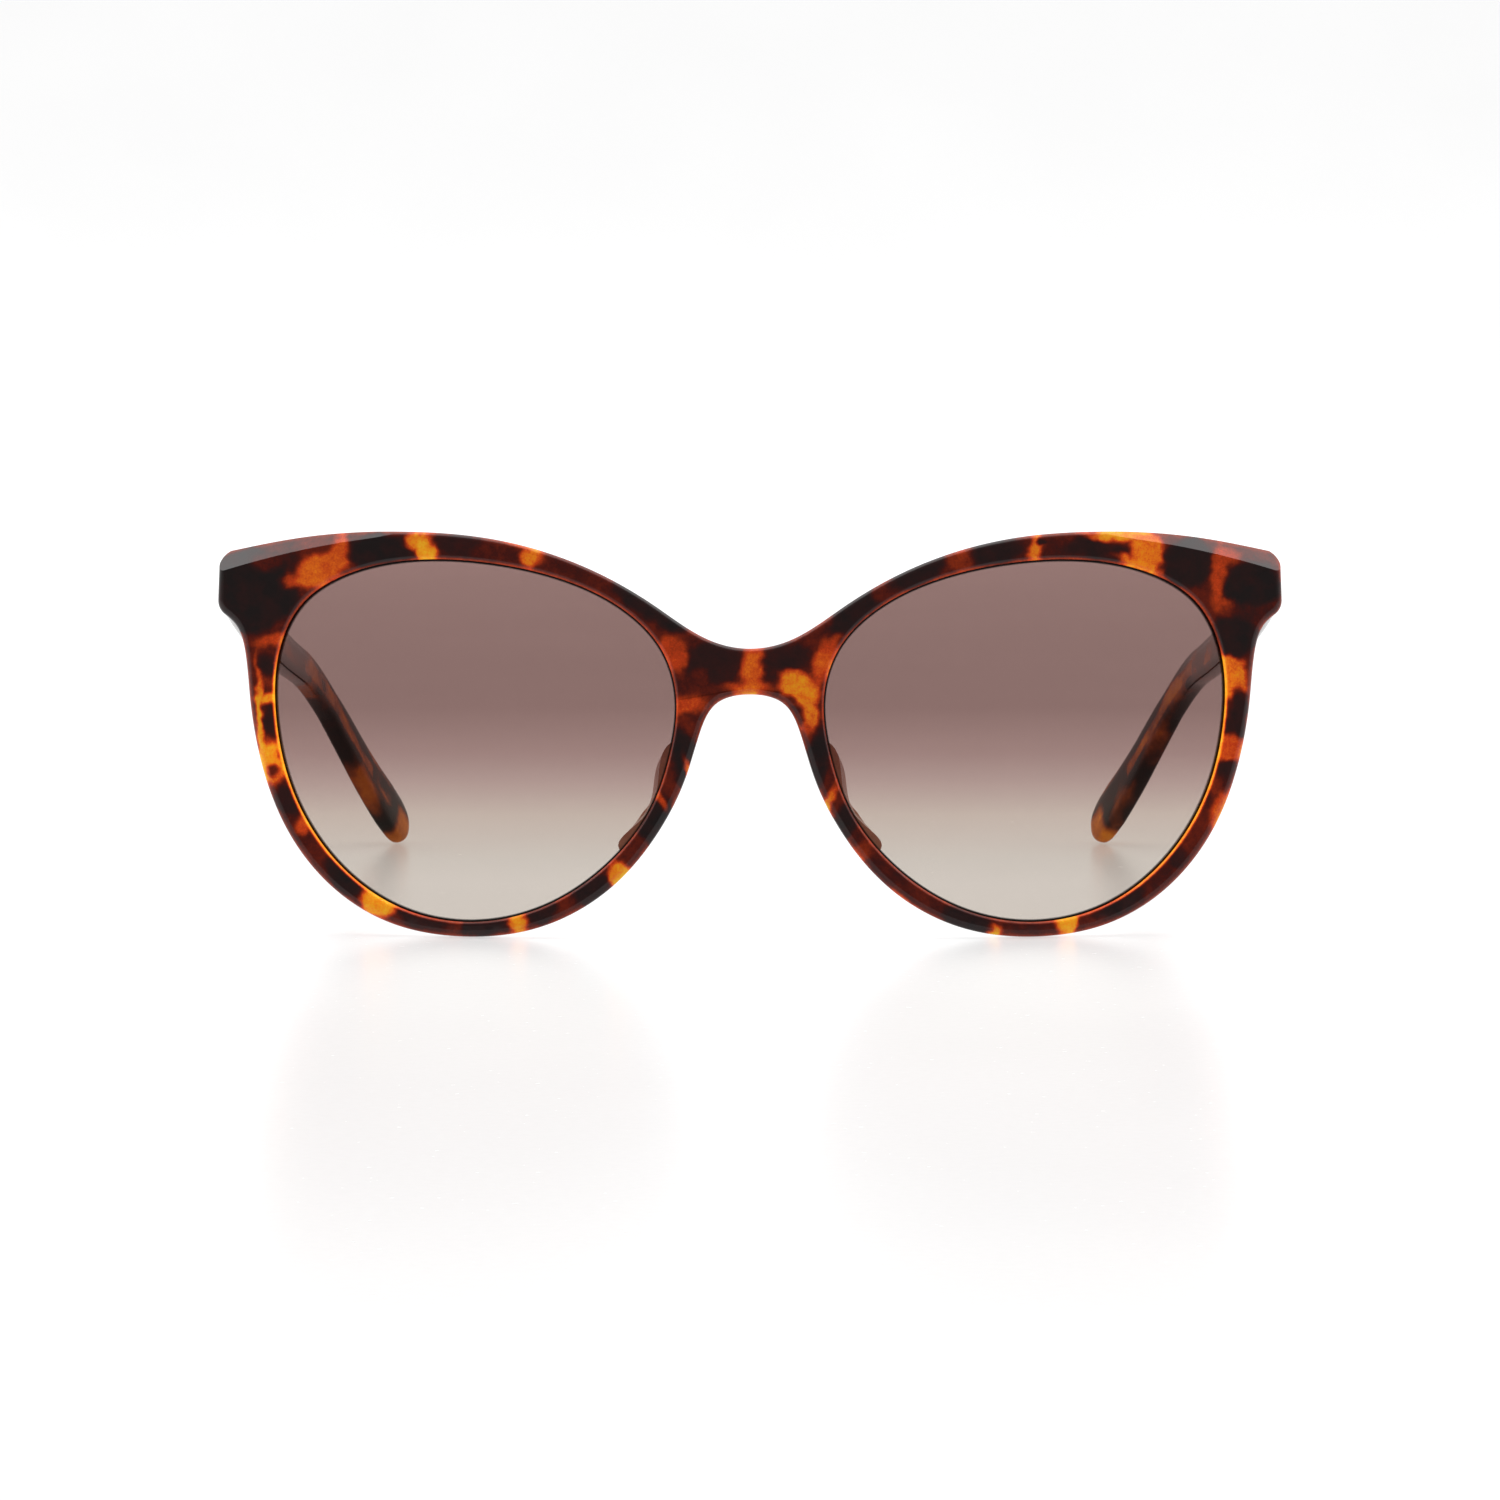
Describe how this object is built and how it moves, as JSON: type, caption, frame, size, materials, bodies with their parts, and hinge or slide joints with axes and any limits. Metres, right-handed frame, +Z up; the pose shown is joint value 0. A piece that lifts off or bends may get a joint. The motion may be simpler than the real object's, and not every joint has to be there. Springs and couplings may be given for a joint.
{
  "type": "cat eye sunglasses",
  "caption": "Cat eye sunglasses with a curved tortoiseshell front, brown gradient lenses, nose pads and hinged temples that fold flat behind the front.",
  "frame": {"origin": "on the table, under the centre of the bounding box with the temples open", "axes": "+Z up, +Y from the front towards the temple tips, +X towards the wearer's left"},
  "size_m": [0.143, 0.1485, 0.0531],
  "materials": {
    "tortoiseshell_front": "polished, mottled amber and near-black",
    "tortoiseshell_temple": "polished, mottled brown and near-black",
    "nose_pad": "polished",
    "lens": "clear tint, darker at the top",
    "hinge_metal": "tumbled nickel silver",
    "screw_metal": "turned steel",
    "core_wire": "rolled nickel silver"
  },
  "bodies": {
    "front": {"front_frame": "tortoiseshell_front", "lens_left": "lens", "lens_right": "lens", "nose_pad_left": "nose_pad", "nose_pad_right": "nose_pad", "front_hinge_left": "hinge_metal", "front_hinge_right": "hinge_metal", "hinge_screw_left": "screw_metal", "hinge_screw_right": "screw_metal"},
    "left_temple": {"temple_left": "tortoiseshell_temple", "temple_hinge_left": "hinge_metal", "core_wire_left": "core_wire"},
    "right_temple": {"temple_right": "tortoiseshell_temple", "temple_hinge_right": "hinge_metal", "core_wire_right": "core_wire"}
  },
  "joints": [
    {"name": "left_temple_fold", "type": "hinge", "parent": "front", "child": "left_temple", "pos_m": [0.063, -0.05825, 0.04552], "axis": [0, 0.0567, 0.9984], "range_deg": [0, 87]},
    {"name": "right_temple_fold", "type": "hinge", "parent": "front", "child": "right_temple", "pos_m": [-0.063, -0.05825, 0.04552], "axis": [0, -0.0567, -0.9984], "range_deg": [0, 78]}
  ]
}
